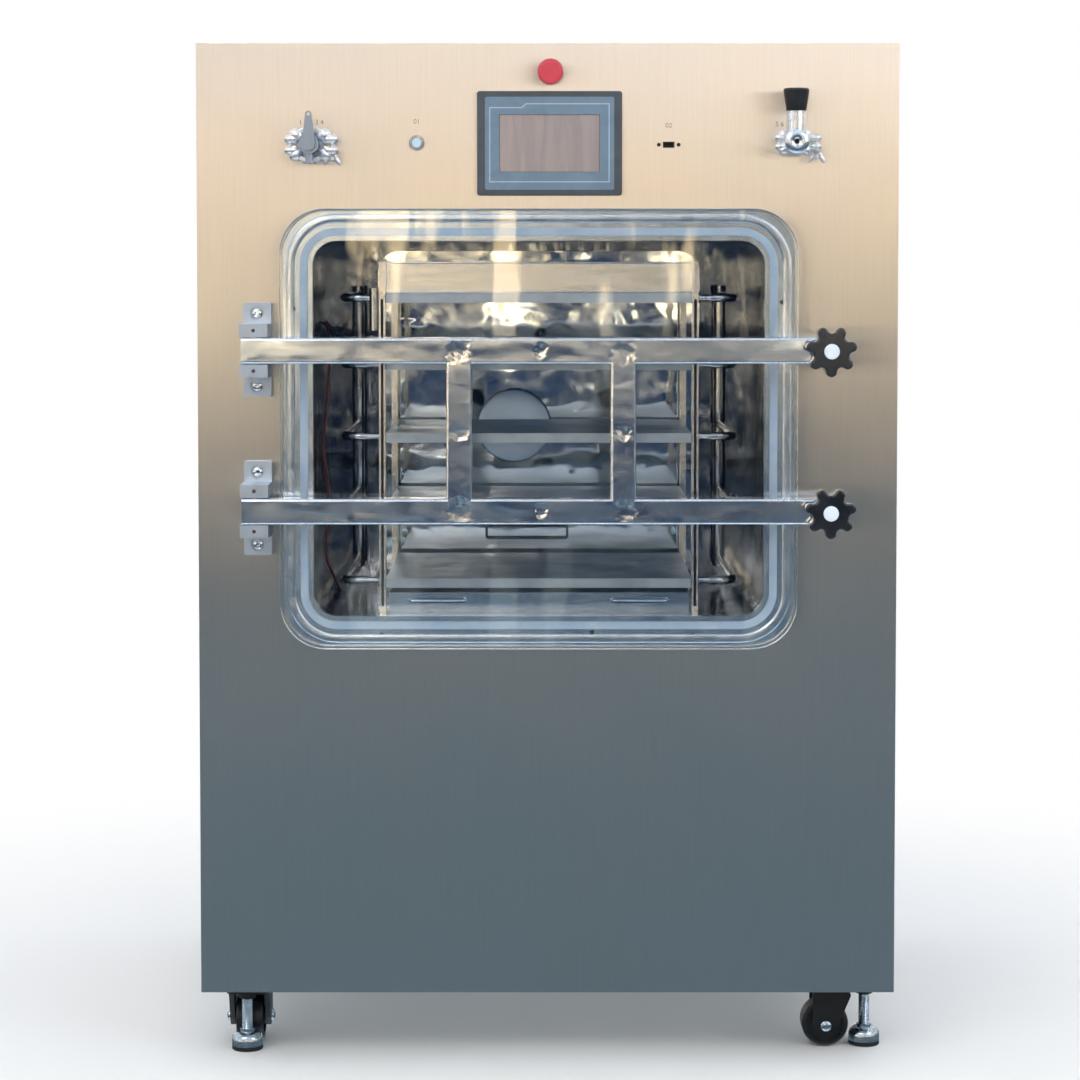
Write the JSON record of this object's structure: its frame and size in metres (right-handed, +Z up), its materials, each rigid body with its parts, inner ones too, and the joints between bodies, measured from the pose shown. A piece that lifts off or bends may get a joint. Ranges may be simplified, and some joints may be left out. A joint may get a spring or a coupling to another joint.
{
  "type": "freeze dryer",
  "caption": "Pilot-scale vacuum freeze dryer: steel cabinet on casters, shelved chamber behind a clear framed door, touch screen and valves.",
  "frame": {"origin": "on the floor, under the middle of the whole machine", "axes": "+X to the right as the user faces the door, +Y to the back, +Z up"},
  "size_m": [1.1056, 1.0514, 1.612],
  "materials": {
    "brushed_stainless": "satin brushed sheet",
    "polished_stainless": "polished stainless steel",
    "welded_tube": "mill finish square tube",
    "clear_acrylic": "clear, polished",
    "pale_silicone": "smooth moulded",
    "cream_silicone": "smooth",
    "black_phenolic": "moulded",
    "charcoal_plastic": "fine moulded texture",
    "screen_glass": "gloss touch surface",
    "red_plastic": "moulded",
    "machined_metal": "turned and plated",
    "aluminium_plate": "ground plate",
    "cast_aluminium": "die cast, tumbled",
    "black_enamel": "gloss enamel",
    "grey_enamel": "powder coat",
    "copper_tube": "drawn",
    "finned_aluminium": "stacked fins",
    "cable_red": "extruded",
    "caster_nylon": "moulded",
    "wheel_nylon": "moulded",
    "lamp_cap": "translucent, smooth",
    "black_moulding": "moulded"
  },
  "bodies": {
    "cabinet": {"base_frame": "welded_tube", "front_panel": "brushed_stainless", "side_panels": "brushed_stainless", "top_panel": "brushed_stainless", "rear_panel": "brushed_stainless", "floor_pan": "brushed_stainless", "chamber_shell": "polished_stainless", "door_flange": "polished_stainless", "door_gasket": "pale_silicone", "rear_baffle": "polished_stainless", "baffle_fittings": "polished_stainless", "shelf_rack": "polished_stainless", "heated_shelves": "aluminium_plate", "drip_tray": "polished_stainless", "shelf_unions": "machined_metal", "shelf_hoses": "cream_silicone", "probe_cable": "cable_red", "hinge_brackets": "polished_stainless", "fasteners": "machined_metal", "clamp_sockets": "polished_stainless", "hmi_housing": "charcoal_plastic", "hmi_screen": "screen_glass", "estop_collar": "black_moulding", "power_button_bezel": "machined_metal", "data_socket": "black_moulding", "left_valve_body": "machined_metal", "right_valve_body": "machined_metal", "valve_clamps": "cast_aluminium", "cold_trap": "polished_stainless", "compressors": "black_enamel", "condenser": "finned_aluminium", "refrigerant_lines": "copper_tube", "fluid_tank": "brushed_stainless", "electrical_box": "grey_enamel", "vacuum_port": "machined_metal", "power_inlet": "black_moulding"},
    "door": {"door_plate": "clear_acrylic", "door_frame": "polished_stainless"},
    "upper_knob": {"upper_knob": "black_phenolic"},
    "lower_knob": {"lower_knob": "black_phenolic"},
    "estop_plunger": {"estop_plunger": "black_moulding"},
    "estop_head": {"estop_head": "red_plastic"},
    "power_button_cap": {"power_button_cap": "lamp_cap"},
    "left_valve_lever": {"left_valve_lever": "machined_metal"},
    "right_valve_knob": {"right_valve_knob": "black_moulding"},
    "left_wing_nut": {"left_wing_nut": "cast_aluminium"},
    "right_wing_nut": {"right_wing_nut": "cast_aluminium"},
    "condenser_fan": {"condenser_fan": "black_moulding"},
    "front_left_fork": {"front_left_fork": "caster_nylon"},
    "front_left_wheel": {"front_left_wheel": "wheel_nylon"},
    "front_left_foot": {"front_left_foot": "machined_metal"},
    "front_right_fork": {"front_right_fork": "caster_nylon"},
    "front_right_wheel": {"front_right_wheel": "wheel_nylon"},
    "front_right_foot": {"front_right_foot": "machined_metal"},
    "rear_left_fork": {"rear_left_fork": "caster_nylon"},
    "rear_left_wheel": {"rear_left_wheel": "wheel_nylon"},
    "rear_left_foot": {"rear_left_foot": "machined_metal"},
    "rear_right_fork": {"rear_right_fork": "caster_nylon"},
    "rear_right_wheel": {"rear_right_wheel": "wheel_nylon"},
    "rear_right_foot": {"rear_right_foot": "machined_metal"}
  },
  "joints": [
    {"name": "door_hinge", "type": "hinge", "parent": "cabinet", "child": "door", "pos_m": [-0.455, -0.46865, 1.009], "axis": [0, 0, 1], "range_deg": [-110, 0]},
    {"name": "upper_knob_turn", "type": "hinge", "parent": "door", "child": "upper_knob", "pos_m": [0.435, -0.48915, 1.1335], "axis": [0, -1, 0], "continuous": true},
    {"name": "lower_knob_turn", "type": "hinge", "parent": "door", "child": "lower_knob", "pos_m": [0.435, -0.48915, 0.8845], "axis": [0, -1, 0], "continuous": true},
    {"name": "estop_push", "type": "slide", "parent": "cabinet", "child": "estop_plunger", "axis": [0, 1, 0], "range_m": [0, 0.006]},
    {"name": "estop_twist", "type": "hinge", "parent": "estop_plunger", "child": "estop_head", "pos_m": [0.004, -0.41435, 1.567], "axis": [0, 1, 0], "range_deg": [0, 45]},
    {"name": "power_button_push", "type": "slide", "parent": "cabinet", "child": "power_button_cap", "axis": [0, 1, 0], "range_m": [0, 0.002], "stiffness_N_per_m": 700},
    {"name": "left_valve_turn", "type": "hinge", "parent": "cabinet", "child": "left_valve_lever", "pos_m": [-0.37, -0.46285, 1.453], "axis": [0, 1, 0], "range_deg": [0, 90]},
    {"name": "right_valve_turn", "type": "hinge", "parent": "cabinet", "child": "right_valve_knob", "pos_m": [0.385, -0.45385, 1.504], "axis": [0, 0, 1], "continuous": true},
    {"name": "left_wing_nut_turn", "type": "hinge", "parent": "cabinet", "child": "left_wing_nut", "pos_m": [-0.336, -0.42935, 1.433], "axis": [0, 0, 1], "continuous": true},
    {"name": "right_wing_nut_turn", "type": "hinge", "parent": "cabinet", "child": "right_wing_nut", "pos_m": [0.419, -0.42935, 1.437], "axis": [0, 0, 1], "continuous": true},
    {"name": "condenser_fan_spin", "type": "hinge", "parent": "cabinet", "child": "condenser_fan", "pos_m": [0.29, 0.39365, 0.336], "axis": [0, 1, 0], "continuous": true},
    {"name": "front_left_swivel", "type": "hinge", "parent": "cabinet", "child": "front_left_fork", "pos_m": [-0.485, -0.29835, 0.098], "axis": [0, 0, 1], "continuous": true},
    {"name": "front_left_roll", "type": "hinge", "parent": "front_left_fork", "child": "front_left_wheel", "pos_m": [-0.485, -0.26335, 0.038], "axis": [1, 0, 0], "continuous": true},
    {"name": "front_left_level", "type": "slide", "parent": "front_left_fork", "child": "front_left_foot", "axis": [0, 0, 1], "range_m": [-0.008, 0.01]},
    {"name": "front_right_swivel", "type": "hinge", "parent": "cabinet", "child": "front_right_fork", "pos_m": [0.485, -0.29835, 0.098], "axis": [0, 0, 1], "continuous": true},
    {"name": "front_right_roll", "type": "hinge", "parent": "front_right_fork", "child": "front_right_wheel", "pos_m": [0.45, -0.29835, 0.038], "axis": [0, 1, 0], "continuous": true},
    {"name": "front_right_level", "type": "slide", "parent": "front_right_fork", "child": "front_right_foot", "axis": [0, 0, 1], "range_m": [-0.008, 0.01]},
    {"name": "rear_left_swivel", "type": "hinge", "parent": "cabinet", "child": "rear_left_fork", "pos_m": [-0.485, 0.38165, 0.098], "axis": [0, 0, 1], "continuous": true},
    {"name": "rear_left_roll", "type": "hinge", "parent": "rear_left_fork", "child": "rear_left_wheel", "pos_m": [-0.45, 0.38165, 0.038], "axis": [0, -1, 0], "continuous": true},
    {"name": "rear_left_level", "type": "slide", "parent": "rear_left_fork", "child": "rear_left_foot", "axis": [0, 0, 1], "range_m": [-0.008, 0.01]},
    {"name": "rear_right_swivel", "type": "hinge", "parent": "cabinet", "child": "rear_right_fork", "pos_m": [0.485, 0.38165, 0.098], "axis": [0, 0, 1], "continuous": true},
    {"name": "rear_right_roll", "type": "hinge", "parent": "rear_right_fork", "child": "rear_right_wheel", "pos_m": [0.485, 0.34665, 0.038], "axis": [-1, 0, 0], "continuous": true},
    {"name": "rear_right_level", "type": "slide", "parent": "rear_right_fork", "child": "rear_right_foot", "axis": [0, 0, 1], "range_m": [-0.008, 0.01]}
  ]
}
